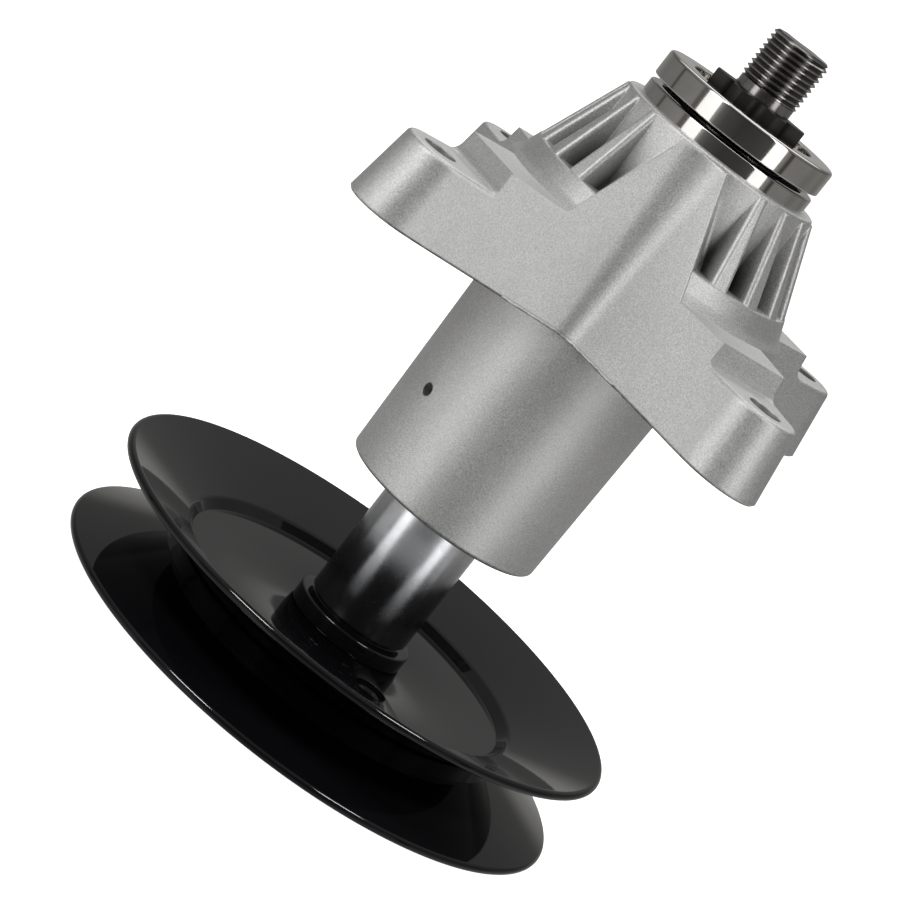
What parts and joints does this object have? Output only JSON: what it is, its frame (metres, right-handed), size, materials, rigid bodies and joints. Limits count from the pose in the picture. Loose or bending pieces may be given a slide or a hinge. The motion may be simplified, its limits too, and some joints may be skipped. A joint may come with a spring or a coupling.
{
  "type": "mower deck spindle",
  "caption": "Lawn mower deck spindle: ribbed cast housing with bolt lugs, ball bearings, star-drive threaded blade shaft, dust shield and pressed V-belt pulley.",
  "frame": {"origin": "on the spindle axis, in the plane of the pulley's lower rim, which the part stands on", "axes": "+Z along the spindle axis towards the threaded blade end; +X and +Y point midway between neighbouring lugs, and -Y is the side nearest the camera"},
  "size_m": [0.1416, 0.1416, 0.1927],
  "materials": {
    "cast_aluminium": "blasted casting, fine grain",
    "polished_steel": "ground and polished",
    "bearing_steel": "ground",
    "shaft_steel": "dark oiled steel",
    "zinc_plate": "bright zinc plate, satin",
    "gloss_black": "gloss powder coat",
    "seal_rubber": "matt"
  },
  "bodies": {
    "housing": {"spindle_housing": "cast_aluminium", "blade_bearing_outer_ring": "polished_steel", "blade_bearing_seals": "seal_rubber", "pulley_bearing_outer_ring": "polished_steel", "pulley_bearing_seals": "seal_rubber"},
    "rotor": {"spindle_shaft": "shaft_steel", "dust_shield": "polished_steel", "bearing_spacer": "zinc_plate", "pulley_sleeve": "zinc_plate", "hub_collar": "gloss_black", "upper_pulley_half": "gloss_black", "lower_pulley_half": "gloss_black", "pulley_key": "bearing_steel", "pulley_washer": "zinc_plate", "pulley_nut": "zinc_plate", "blade_bearing_inner_ring": "bearing_steel", "pulley_bearing_inner_ring": "bearing_steel"},
    "blade_bearing_train": {"blade_bearing_balls": "bearing_steel", "blade_bearing_cage": "bearing_steel"},
    "pulley_bearing_train": {"pulley_bearing_balls": "bearing_steel", "pulley_bearing_cage": "bearing_steel"}
  },
  "joints": [
    {"name": "rotor_spin", "type": "hinge", "parent": "housing", "child": "rotor", "pos_m": [0, 0, 0.11], "axis": [0, 0, 1], "continuous": true},
    {"name": "blade_cage_spin", "type": "hinge", "parent": "housing", "child": "blade_bearing_train", "pos_m": [0, 0, 0.1591], "axis": [0, 0, 1], "continuous": true},
    {"name": "pulley_cage_spin", "type": "hinge", "parent": "housing", "child": "pulley_bearing_train", "pos_m": [0, 0, 0.0634], "axis": [0, 0, 1], "continuous": true}
  ],
  "couplings": [
    {"joint": "blade_cage_spin", "follows": "rotor_spin", "ratio": 0.38149},
    {"joint": "pulley_cage_spin", "follows": "rotor_spin", "ratio": 0.38149}
  ]
}
